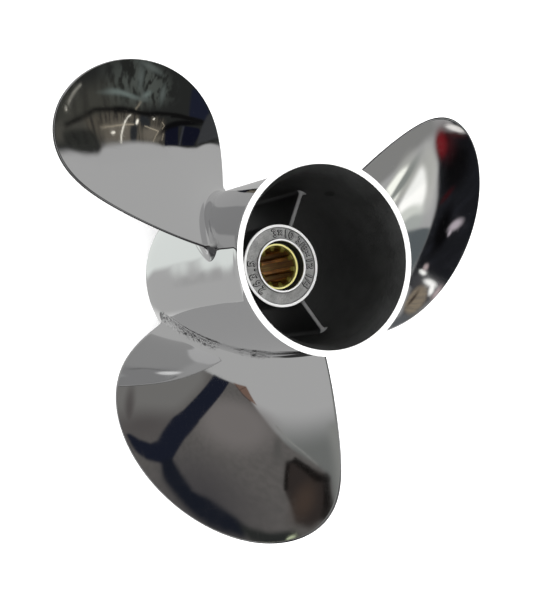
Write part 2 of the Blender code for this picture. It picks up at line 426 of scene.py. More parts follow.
def brass():
    """Brass that is bright on its aft ring and browner down the broached splines, with painted shade in the
    grooves between the teeth.
    """
    finish = Finish("brass", (0.72, 0.56, 0.18), 0.28, 0.8)
    x, y, z = finish.parts()
    depth = (SLEEVE_AFT - z) / BRASS_DEPTH
    stops = [
        (0.0, (1.0, 0.94, 0.36)), (0.09, (0.90, 0.80, 0.24)), (0.12, (0.20, 0.17, 0.03)),
        (0.18, (0.30, 0.20, 0.03)), (0.24, (0.62, 0.36, 0.05)), (1.0, (0.95, 0.46, 0.08)),
    ]
    tone = finish.add("ShaderNodeValToRGB", {"stops": stops}, depth)
    radius = finish.radius()
    # Painted shade: the grooves between the teeth are darkened in colour.
    painted_groove_shade = radius.step(SPLINE_MINOR + 0.0001, SPLINE_MAJOR - 0.0003) * depth.step(0.14, 0.3)
    tone = finish.blend(painted_groove_shade, tone, (0.36, 0.23, 0.03))
    face = 1.0 - depth.step(0.09, 0.12)
    ring = radius.step(SLEEVE_MOUTH - 0.0002, SLEEVE_MOUTH)
    tone = finish.blend(face * (1.0 - ring), tone, (0.40, 0.34, 0.12))
    finish.set("Metallic", 0.85 - 0.75 * (face * ring))
    broached = finish.noise(finish.vector(x * 3600.0, y * 3600.0, z * 60.0), 1.0, 2.0, 0.6)
    tarnish = finish.noise(finish.vector(x * 420.0, y * 420.0, z * 90.0), 1.0, 3.0, 0.6)
    wear_and_highlight = tarnish.step(0.38, 0.66) * depth.step(0.1, 0.3)
    lines = broached.step(0.44, 0.58) * depth.step(0.16, 0.24)
    tone = finish.blend(lines * 0.7, tone, (0.16, 0.075, 0.02))
    finish.set("Base Color", finish.blend(wear_and_highlight * 0.6, tone, (0.30, 0.14, 0.04)))
    finish.set("Roughness", 0.34 + 0.2 * broached + 0.1 * wear_and_highlight)
    finish.set("Normal", finish.bump(broached, 0.00002))
    return finish


def finished(name, mesh, body_slot, *nodes):
    """The object of a finished mesh, riding with the solids that it stands for, if any."""
    piece = bpy.data.objects.new(name, mesh)
    bpy.context.scene.collection.objects.link(piece)
    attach(piece, "root")
    if nodes:
        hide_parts(*nodes)


def turned(name, profile, segments, finishes):
    """A closed ring turned about Z from (radius, height, finish of the face after it)."""
    points = []
    faces = []
    looks = []
    count = len(profile)
    for segment in range(segments):
        angle = tau * segment / segments
        points += [(radius * cos(angle), radius * sin(angle), height) for radius, height, _ in profile]
        here = segment * count
        there = (segment + 1) % segments * count
        for i in range(count):
            j = (i + 1) % count
            faces.append((here + i, there + i, there + j, here + j))
            looks.append(profile[i][2])
    mesh = bpy.data.meshes.new(name)
    mesh.from_pydata(points, [], faces)
    for finish in finishes:
        mesh.materials.append(finish.material)
    mesh.polygons.foreach_set("material_index", looks)
    mesh.shade_smooth()
    mesh.set_sharp_from_angle(angle=TURNED_SHARP_ANGLE)
    mesh.validate()
    return mesh


def barrel_profile():
    """Fore end, outside, flare, rim and inside. Finishes: 0 polished, 1 machined, 2 dark casting."""
    base = BARREL_LENGTH - RING_HEIGHT
    inner = BARREL_RADIUS - BARREL_WALL
    low = 0.0007
    profile = [(FORE_RADIUS - 0.0006, 0.0, 0), (FORE_RADIUS - 0.0001, 0.0002, 0), (FORE_RADIUS, low, 0)]
    for step in range(1, 9):
        share = step / 8
        ease = share * (2 - share)
        radius = FORE_RADIUS + (BARREL_RADIUS - FORE_RADIUS) * ease
        profile.append((radius, low + FORE_TAPER * share, 0))
    for step in range(1, 9):
        profile.append((BARREL_RADIUS, FORE_TAPER + (base - FORE_TAPER) * step / 8, 0))
    flare = RIM_RADIUS - BARREL_RADIUS
    for step in range(1, 15):
        share = step / 14 * 0.97
        profile.append((BARREL_RADIUS + flare * share**2, base + RING_HEIGHT * share, 0))
    rim_inner = RIM_RADIUS - RIM_WIDTH
    profile += [
        (RIM_RADIUS, BARREL_LENGTH - RIM_EDGE, 1),
        (RIM_RADIUS - 0.3 * RIM_EDGE, BARREL_LENGTH - 0.3 * RIM_EDGE, 1),
        (RIM_RADIUS - RIM_EDGE, BARREL_LENGTH, 1),
        (rim_inner + RIM_EDGE, BARREL_LENGTH, 1),
        (rim_inner + 0.3 * RIM_EDGE, BARREL_LENGTH - 0.3 * RIM_EDGE, 1),
        (rim_inner, BARREL_LENGTH - RIM_EDGE, 2),
    ]
    for step in range(10, -1, -1):
        share = step / 11
        wall = BARREL_WALL + (RIM_WIDTH - BARREL_WALL) * share
        profile.append((BARREL_RADIUS + flare * share**2 - wall, base + RING_HEIGHT * share, 2))
    profile += [(inner, base * step / 8, 2) for step in range(7, 0, -1)]
    return profile + [(inner, 0.0006, 2), (inner + 0.0006, 0.0, 0)]


def build_barrel(looks):
    finishes = [looks.steel, looks.machined, looks.inside]
    mesh = turned("barrel_casting", barrel_profile(), BARREL_SEGMENTS, finishes)
    finished("barrel_casting", mesh, "barrel_steel", "barrel", "diffuser_ring")


def build_hub(looks):
    """Inner hub: bright bands with a cast face between them, and a plain bore behind the lip."""
    inner_top = HUB_AFT + INNER_BAND_RISE
    inner_edge = HUB_MOUTH_RADIUS + INNER_BAND
    outer_edge = HUB_RADIUS - OUTER_BAND
    profile = [
        (HUB_CAVITY_RADIUS, HUB_FORE, 2),
        (HUB_RADIUS - 0.0004, HUB_FORE, 2),
        (HUB_RADIUS, HUB_FORE + 0.0004, 2),
        (HUB_RADIUS, HUB_AFT - 0.0006, 1),
        (HUB_RADIUS, HUB_AFT - BAND_EDGE, 1),
        (HUB_RADIUS - BAND_EDGE, HUB_AFT, 1),
        (outer_edge + BAND_EDGE, HUB_AFT, 1),
        (outer_edge, HUB_AFT - BAND_EDGE, 0),
        (outer_edge - 0.0001, HUB_AFT - 0.0007, 0),
        (outer_edge - 0.0005, HUB_AFT - 0.0008, 0),
        (inner_edge + 0.0005, inner_top - 0.0008, 0),
        (inner_edge + 0.0001, inner_top - 0.0006, 0),
        (inner_edge, inner_top - BAND_EDGE, 1),
        (inner_edge - BAND_EDGE, inner_top, 1),
        (HUB_MOUTH_RADIUS + BAND_EDGE, inner_top, 1),
        (HUB_MOUTH_RADIUS, inner_top - BAND_EDGE, 1),
        (HUB_MOUTH_RADIUS, inner_top - 0.0007, 2),
        (HUB_MOUTH_RADIUS, HUB_AFT - HUB_LIP, 2),
        (HUB_CAVITY_RADIUS, HUB_AFT - HUB_LIP, 2),
    ]
    mesh = turned("hub_casting", profile, HUB_SEGMENTS, [looks.cast, looks.machined, looks.dark])
    finished("hub_casting", mesh, "hub_steel", "inner_hub")


def build_bush(looks):
    inner = SLEEVE_RADIUS + 0.0001
    outer = HUB_CAVITY_RADIUS - 0.0001
    low = HUB_FORE + 0.0008
    high = HUB_AFT - HUB_LIP - 0.0002
    profile = [
        (inner, low, 0),
        (outer, low, 0),
        (outer, high, 0),
        (inner + 0.0012, high, 0),
        (inner + 0.0006, high + 0.0005, 0),
        (inner + 0.0001, high + 0.0003, 0),
    ]
    mesh = turned("bush_moulding", profile, BUSH_SEGMENTS, [looks.rubber])
    finished("bush_moulding", mesh, "bush_rubber", "rubber_bush")


class Maker(Graph):
    """A geometry node tree with named inputs, which makes one mesh for each object it is put on."""

    def __init__(self, name, sizes):
        super().__init__(bpy.data.node_groups.new(name, "GeometryNodeTree"))
        sockets = self.tree.interface
        sockets.new_socket("Geometry", in_out="OUTPUT", socket_type="NodeSocketGeometry")
        kinds = {int: "NodeSocketInt", float: "NodeSocketFloat", str: "NodeSocketString"}
        self.identifiers = {}
        for label, value in sizes.items():
            kind = kinds.get(type(value), "NodeSocketMaterial")
            socket = sockets.new_socket(label, in_out="INPUT", socket_type=kind)
            self.identifiers[label] = socket.identifier
        self.sizes = sizes
        self.given = self.add("NodeGroupInput")

    def size(self, label):
        return self.given.other(label)

    def shape(self, kind, *values, **sockets):
        """Adds a geometry node that needs no settings."""
        return self.add("GeometryNode" + kind, None, *values, **sockets)

    def join(self, first, second):
        joined = self.shape("JoinGeometry", first)
        self.feed(joined.socket.node.inputs[0], second)
        return joined

    def merge(self, geometry):
        return self.shape("MergeByDistance", geometry, distance=MERGE_DISTANCE)

    def end(self, geometry, material=None):
        geometry = self.shape("RealizeInstances", geometry)
        if material:
            geometry = self.shape("SetMaterial", geometry, material=material)
        self.add("NodeGroupOutput", None, geometry)

    def make(self, name, **changes):
        """The mesh that the tree gives with these sizes."""
        mesh = bpy.data.meshes.new(name)
        carrier = bpy.data.objects.new(name + "_carrier", mesh)
        bpy.context.scene.collection.objects.link(carrier)
        modifier = carrier.modifiers.new("maker", "NODES")
        modifier.node_group = self.tree
        for label, value in {**self.sizes, **changes}.items():
            modifier[self.identifiers[label]] = value
        graph = bpy.context.evaluated_depsgraph_get()
        result = bpy.data.meshes.new_from_object(carrier.evaluated_get(graph))
        result.name = name
        bpy.data.objects.remove(carrier)
        bpy.data.meshes.remove(mesh)
        return result


def rounded(distance, radius):
    """How full a rounded edge is at this distance in from it: 0 on the edge, 1 past the radius."""
    left = (1.0 - distance / radius).clamped()
    return (1.0 - left * left).sqrt()


def blade_maker(material):
    """One blade. Its sections lie on cylinders about the shaft, as in the solids."""
    sizes = {
        "Tip Radius": TIP_RADIUS,
        "Pitch": PITCH,
        "Barrel Radius": BARREL_RADIUS,
        "Reference Height": REFERENCE_HEIGHT,
        "Rake": RAKE,
        "Root Thickness": ROOT_THICKNESS,
        "Tip Thickness": TIP_THICKNESS,
        "Edge Thickness": EDGE_THICKNESS,
        "Nose Length": NOSE_LENGTH,
        "Root Fillet": ROOT_FILLET,
        "Turn": 0.0,
        "Steel": material,
    }
    for power, value in enumerate(HALF_WIDTH):
        sizes[f"Half Width {power}"] = value
    for power, value in enumerate(SKEW):
        sizes[f"Skew {power}"] = value
    maker = Maker("blade_maker", sizes)
    around, fillet_rows, blade_rows = 192, 12, 116
    rows = 2 + fillet_rows + blade_rows
    grid = maker.shape("MeshGrid", 1.0, 1.0, around + 1, rows + 1)
    spot = maker.shape("InputPosition")
    across = maker.add("ShaderNodeSeparateXYZ", None, spot)
    row = (across.other("Y") + 0.5) * float(rows)
    turn = (across + 0.5) * tau
    size = maker.size

    fillet_turn = ((row - 2.0) / float(fillet_rows)).clamped() * (pi / 2)
    out = size("Root Fillet") * (1.0 - fillet_turn.cos()) - 0.001 * (1.0 - row.above(1.5))
    grow = size("Root Fillet") * (1.0 - fillet_turn.sin())
    left = 1.0 - ((row - (2.0 + fillet_rows)) / float(blade_rows)).clamped()
    root = (size("Barrel Radius") + out) / size("Tip Radius")
    share = 1.0 - (1.0 - root) * left * left

    squared = share * share
    powers = [1.0, squared, squared * squared, squared * squared * squared]
    half_width = reduce(add, (size(f"Half Width {i}") * powers[i] for i in range(len(HALF_WIDTH))))
    skew = reduce(add, (size(f"Skew {i}") * powers[i] for i in range(len(SKEW))))
    narrowing = (1.0 - squared).sqrt()
    lead = size("Pitch") / tau
    radius = share * size("Tip Radius")
    chord_scale = (radius * radius + lead * lead).sqrt()
    half_chord = (half_width * narrowing * chord_scale).at_least(1e-6)
    place = turn.cos()
    from_ends = 1.0 - place * place
    slope = (share / size("Tip Radius")) ** 2.0
    slope = slope + (place * narrowing / (half_width * chord_scale)) ** 2.0
    to_outline = narrowing * narrowing * from_ends / (2.0 * slope.sqrt())
    to_outline = to_outline * (half_chord + grow) / half_chord
    full = rounded(to_outline, size("Nose Length") + grow) * row.above(0.5)
    middle = size("Edge Thickness") * -0.5
    thickness = size("Root Thickness") + (size("Tip Thickness") - size("Root Thickness")) * share
    swell = (thickness - size("Edge Thickness")) * from_ends.at_least(0.0) ** 0.75
    pressure = middle + full * (grow - middle)
    suction = middle + full * (middle - swell - grow)
    on_pressure = turn.sin().above(0.0)
    off = suction + (pressure - suction) * on_pressure

    angle = skew + place * half_width * narrowing * (1.0 + grow / half_chord)
    height = size("Reference Height") + size("Rake") * (share - REFERENCE_SHARE) + lead * angle
    height = height + off * radius / chord_scale
    angle = angle - off * lead / (chord_scale * radius) + size("Turn")
    blade = grid
    fields = {"fillet": grow / size("Root Fillet"), "chordwise": place, "edge": full}
    for label, value in fields.items():
        blade = maker.add(
            "GeometryNodeStoreNamedAttribute", {"data_type": "FLOAT"}, blade, name=label, value=value
        )
    place = maker.vector(radius * angle.cos(), radius * angle.sin(), height)
    blade = maker.shape("SetPosition", blade, position=place)
    blade = maker.merge(blade)
    blade = maker.shape("SetShadeSmooth", blade)
    maker.end(blade, size("Steel"))
    return maker


def build_blades(looks):
    maker = blade_maker(looks.blade.material)
    for number in range(1, BLADE_COUNT + 1):
        name = f"blade_casting_{number}"
        mesh = maker.make(name, Turn=tau * (number - 1) / BLADE_COUNT)
        finished(name, mesh, "blade_steel", f"blade_{number}")


def number_maker(material, dirt):
    """A row of raised numbers, bent round the hub face with their tops outward, and a dark tube of painted
    shade round each letter.
    """
    sizes = {
        "Text": "0",
        "Middle Angle": 0.0,
        "Baseline Radius": 0.01405,
        "Size": 0.0053,
        "Spacing": 1.0,
        "Face Height": HUB_AFT + 0.0001,
        "Face Slope": 0.1875,
        "Rise": 0.00065,
        "Bead": 0.00034,
        "Metal": material,
        "Dirt": dirt,
    }
    maker = Maker("number_maker", sizes)
    size = maker.size
    given = {"string": size("Text"), "size": size("Size"), "character_spacing": size("Spacing")}
    letters = maker.add("GeometryNodeStringToCurves", {"align_x": "CENTER"}, **given)
    letters = maker.shape("RealizeInstances", letters)
    flat = maker.add("GeometryNodeFillCurve", {"mode": "NGONS"}, letters)
    raised = maker.shape("ExtrudeMesh", flat, offset_scale=size("Rise"), individual=False)
    under = maker.shape("FlipFaces", flat)
    solid = maker.merge(maker.join(raised, under))
    solid = maker.shape("SetMaterial", solid, material=size("Metal"))
    # Painted shade: a tube of the dark casting runs round each letter's outline and stands for the shade at
    # its foot.
    outline = maker.add("GeometryNodeResampleCurve", {"mode": "LENGTH"}, letters, length=0.00025)
    circle = maker.shape("CurvePrimitiveCircle", resolution=8, radius=size("Bead"))
    shade_bead = maker.shape("CurveToMesh", outline, circle)
    shade_bead = maker.shape("Transform", shade_bead, translation=(0.0, 0.0, 0.0003))
    shade_bead = maker.shape("SetMaterial", shade_bead, material=size("Dirt"))
    solid = maker.join(solid, shade_bead)
    spot = maker.add("ShaderNodeSeparateXYZ", None, maker.shape("InputPosition"))
    middle_radius = size("Baseline Radius") + 0.36 * size("Size")
    angle = size("Middle Angle") - spot / middle_radius
    radius = size("Baseline Radius") + spot.other("Y")
    face_start = HUB_MOUTH_RADIUS + INNER_BAND + 0.0005
    face = size("Face Height") - (radius - face_start) * size("Face Slope")
    height = face - 0.0002 + abs(spot.other("Z"))
    place = maker.vector(radius * angle.cos(), radius * angle.sin(), height)
    maker.end(maker.shape("SetPosition", solid, position=place))
    return maker


def build_numbers(looks):
    """Plain raised sizes: the diameter in millimetres, then blades, diameter and pitch in inches."""
    # The dark casting here is the painted shade round the letters.
    maker = number_maker(looks.cast.material, looks.dark.material)
    rows = (("263.5", -70.0, 1.45), ("3\u00d710 3/8\u00d712 1/4", 121.0, 1.12))
    for number, (text, middle, spacing) in enumerate(rows, 1):
        name = f"raised_numbers_{number}"
        changes = {"Text": text, "Middle Angle": radians(middle), "Spacing": spacing}
        finished(name, maker.make(name, **changes), "hub_steel")


def rib_maker(material):
    """The ribs: flat plates with rounded ends, opening out into the hub and the barrel wall."""
    sizes = {
        "Ribs": BLADE_COUNT,
        "First Angle": RIB_ANGLE,
        "Thickness": RIB_THICKNESS,
        "Fore": RIB_FORE,
        "Aft": RIB_AFT,
        "Inner": HUB_RADIUS - 0.0008,
        "Outer": BARREL_RADIUS - BARREL_WALL + 0.0008,
        "Fillet": 0.0016,
        "Steel": material,
    }
    maker = Maker("rib_maker", sizes)
    size = maker.size
    around, out_rows = 64, 40
    grid = maker.shape("MeshGrid", 1.0, 1.0, around + 1, out_rows + 3)
    spot = maker.add("ShaderNodeSeparateXYZ", None, maker.shape("InputPosition"))
    turn = (spot + 0.5) * tau
    row = (spot.other("Y") + 0.5) * float(out_rows + 2)
    along = ((row - 1.0) / float(out_rows)).clamped()
    along = (1.0 - (along * pi).cos()) * 0.5
    radius = size("Inner") + (size("Outer") - size("Inner")) * along
    half = size("Thickness") * 0.5
    half_height = (size("Aft") - size("Fore")) * 0.5
    from_hub = radius - HUB_RADIUS
    from_wall = (BARREL_RADIUS - BARREL_WALL) - radius
    near = from_hub.maths("MINIMUM", from_hub, from_wall).at_least(0.0)
    grow = size("Fillet") * (1.0 - rounded(near, size("Fillet")))
    ends = row.above(0.5) * (1.0 - row.above(out_rows + 1.5))
    to_end = half_height * (1.0 - abs(turn.cos()))
    wide = rounded(to_end, half) * (half + grow) * ends
    sideways = wide * (turn.sin().above(0.0) * 2.0 - 1.0)
    height = (size("Aft") + size("Fore")) * 0.5 + (half_height + grow) * turn.cos()
    place = maker.vector(radius, sideways, height)
    plate = maker.merge(maker.shape("SetPosition", grid, position=place))
    plate = maker.shape("SetShadeSmooth", plate)
    spots = maker.shape("MeshLine", count=size("Ribs"), offset=(0.0, 0.0, 0.0))
    index = maker.shape("InputIndex")
    facing = maker.vector(0.0, 0.0, size("First Angle") + index * (tau / size("Ribs")))
    ribs = maker.shape("InstanceOnPoints", spots, instance=plate, rotation=facing)
    maker.end(ribs, size("Steel"))
    return maker


def build_ribs(looks):
    mesh = rib_maker(looks.rib.material).make("rib_plates")
    finished("rib_plates", mesh, "rib_steel", "rib_1", "rib_2", "rib_3")


def spline_radius(place):
    """Bore radius at this share of one pitch, with 0 and 1 in the middle of grooves."""
    groove_half, flank = 0.25, 0.09
    share = min(max((min(place, 1 - place) - groove_half) / flank, 0), 1)
    share = share * share * (3 - 2 * share)
    return SPLINE_MAJOR + (SPLINE_MINOR - SPLINE_MAJOR) * share


def sleeve_sector():
    """One tooth of the sleeve, with half a groove on each side of it."""
    steps = 36
    tooth_end = SLEEVE_AFT - 0.0013
    aft = [
        (lambda bore: SLEEVE_RADIUS, SLEEVE_AFT - 0.0002),
        (lambda bore: SLEEVE_RADIUS - 0.0001, SLEEVE_AFT),
        (lambda bore: SLEEVE_MOUTH + 0.0001, SLEEVE_AFT),
        (lambda bore: SLEEVE_MOUTH, SLEEVE_AFT - 0.0001),
        (lambda bore: SLEEVE_MOUTH - 0.0004, tooth_end),
        (lambda bore: bore + 0.0002, tooth_end - 0.0004),
        (lambda bore: bore, tooth_end - 0.0006),
    ]
    middle = SLEEVE_AFT + SLEEVE_FORE
    rings = aft + [(reach, middle - height) for reach, height in reversed(aft)]
    points = []
    for step in range(steps + 1):
        place = step / steps
        angle = FIRST_TOOTH_ANGLE + tau * (place - 0.5) / SPLINE_COUNT
        bore = spline_radius(place)
        for reach, height in rings:
            points.append((reach(bore) * cos(angle), reach(bore) * sin(angle), height))
    count = len(rings)
    faces = []
    for step in range(steps):
        for i in range(count):
            j = (i + 1) % count
            here, there = step * count, (step + 1) * count
            faces.append((here + i, here + j, there + j, there + i))
    mesh = bpy.data.meshes.new("sleeve_sector")
    mesh.from_pydata(points, [], faces)
    return mesh


def repeat_maker(name, part, count, material):
    """Copies of one part at even angles about the shaft, joined where they meet."""
    maker = Maker(name, {"Count": count, "Part Angle": tau / count, "Metal": material})
    part = maker.shape("ObjectInfo", part)
    spots = maker.shape("MeshLine", count=maker.size("Count"), offset=(0.0, 0.0, 0.0))
    index = maker.shape("InputIndex")
    facing = maker.vector(0.0, 0.0, index * maker.size("Part Angle"))
    copies = maker.shape("InstanceOnPoints", spots, instance=part.other("Geometry"), rotation=facing)
    joined = maker.merge(maker.shape("RealizeInstances", copies))
    maker.end(joined, maker.size("Metal"))
    return maker


def build_sleeve(looks):
    sector = bpy.data.objects.new("sleeve_sector", sleeve_sector())
    bpy.context.scene.collection.objects.link(sector)
    maker = repeat_maker("spline_maker", sector, SPLINE_COUNT, looks.brass.material)
    mesh = maker.make("sleeve_turning")
    bpy.data.objects.remove(sector)
    mesh.shade_smooth()
    mesh.set_sharp_from_angle(angle=SLEEVE_SHARP_ANGLE)
    finished("sleeve_turning", mesh, "sleeve_brass", "spline_sleeve")


def build_floor():
    """Pale paper with a faint glow. The steel mirrors the hall's floor in its place."""
    mesh = bpy.data.meshes.new("floor")
    sides = ((-1, -1), (1, -1), (1, 1), (-1, 1))
    corners = [(x * FLOOR_REACH, y * FLOOR_REACH, 0.0) for x, y in sides]
    mesh.from_pydata(corners, [], [(0, 1, 2, 3)])
    floor = bpy.data.objects.new("floor", mesh)
    bpy.context.scene.collection.objects.link(floor)
    finish = Finish("floor_paper", (0.94, 0.94, 0.94), 0.9, 0.0)
    grain = finish.noise(finish.place, 700.0, 3.0)
    finish.set("Base Color", finish.blend(grain, (0.93, 0.93, 0.93), (0.95, 0.95, 0.95)))
    finish.set("Emission Color", WHITE)
    finish.set("Emission Strength", FLOOR_GLOW)
    mesh.materials.append(finish.material)
    floor.visible_glossy = False
    floor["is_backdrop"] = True


def direction(azimuth, elevation):
    a, e = radians(azimuth), radians(elevation)
    return Vector((cos(e) * cos(a), cos(e) * sin(a), sin(e)))


def patch(*corners):
    """A panel's corners as directions."""
    return [[direction(*corner) for corner in corners]]


def strip(width, *places):
    """A narrow panel of this width in degrees along a line of places, one four-sided patch a piece."""
    points = [direction(*place) for place in places]
    patches = []
    for first, second in zip(points, points[1:]):
        side = first.cross(second).normalized() * tan(radians(width) / 2)
        lap = (second - first).normalized() * side.length
        first, second = first - lap, second + lap
        patches.append([first - side, first + side, second + side, second - side])
    return patches


def oval(centre, end, side):
    """A round panel from its middle, the end of its long half and the edge beside the middle."""
    middle = direction(*centre)
    long, wide = direction(*end) - middle, direction(*side) - middle
    across, along = wide.cross(middle), middle.cross(long)
    return [(across / long.dot(across), along / wide.dot(along), middle)]


def mask_group(name, labels):
    """A node group for a mask, how far along each of its vectors one looks, and its softness."""
    tree = bpy.data.node_groups.new(name, "ShaderNodeTree")
    graph = Graph(tree)
    for label in ("Towards", *labels):
        tree.interface.new_socket(label, in_out="INPUT", socket_type="NodeSocketVector")
    tree.interface.new_socket("Softness", in_out="INPUT", socket_type="NodeSocketFloat")
    tree.interface.new_socket("Mask", in_out="OUTPUT", socket_type="NodeSocketFloat")
    towards = graph.add("NodeGroupInput")
    dots = [graph.dot(towards, towards.other(label)) for label in labels]
    return graph, dots, towards.other("Softness")


def four_edges():
    """A node group that is 1 on the inner side of four planes through the middle, and 0 elsewhere."""
    labels = [f"Edge {number}" for number in range(1, 5)]
    graph, depths, softness = mask_group("four_edges", labels)
    sides = [depth.step(-softness, softness) for depth in depths]
    graph.add("NodeGroupOutput", None, reduce(mul, sides))
    return graph.tree


def round_edge():
    """A node group that is 1 inside an oval, by how far towards its end and its side one looks."""
    graph, reach, softness = mask_group("round_edge", ("Long", "Wide", "Middle"))
    out = (reach[0] * reach[0] + reach[1] * reach[1]).sqrt()
    mask = (1.0 - out.step(1.0 - softness, 1.0 + softness)) * reach[2].above(0.0)
    graph.add("NodeGroupOutput", None, mask)
    return graph.tree


def patch_mask(graph, group, towards, points, softness):
    """1 inside a patch and 0 outside it."""
    middle = sum(points, Vector()).normalized()
    edges = []
    for first, second in zip(points, points[1:] + points[:1]):
        edge = first.cross(second).normalized()
        edges.append(tuple(-edge if edge.dot(middle) < 0 else edge))
    edges += [tuple(middle)] * (-len(edges) % 4)
    fours = (edges[start:start + 4] for start in range(0, len(edges), 4))
    kind = {"node_tree": group}
    return reduce(mul, [graph.add("ShaderNodeGroup", kind, towards, *four, softness) for four in fours])


def panel_mask(graph, groups, towards, shapes, softness):
    """1 inside any of a panel's shapes and 0 outside them."""
    masks = []
    for shape in shapes:
        if isinstance(shape, tuple):
            vectors = [tuple(vector) for vector in shape]
            kind = {"node_tree": groups.round}
            masks.append(graph.add("ShaderNodeGroup", kind, towards, *vectors, softness))
        else:
            masks.append(patch_mask(graph, groups.straight, towards, shape, softness))
    return reduce(Wire.at_least, masks)


def streaks(graph, towards, middle, slope, fine, coarse):
    """Noise drawn out along one line of the mirrored room, at this slope from the level."""
    centre = direction(*middle)
    east = Vector((-centre.y, centre.x, 0.0)).normalized()
    north = centre.cross(east)
    along = east * cos(radians(slope)) + north * sin(radians(slope))
    across = centre.cross(along)
    parts = [graph.dot(towards, tuple(line)) for line in (along * coarse, across * fine)]
    return graph.noise(graph.vector(*parts, 0.0), 1.0, 2.0, 0.6)


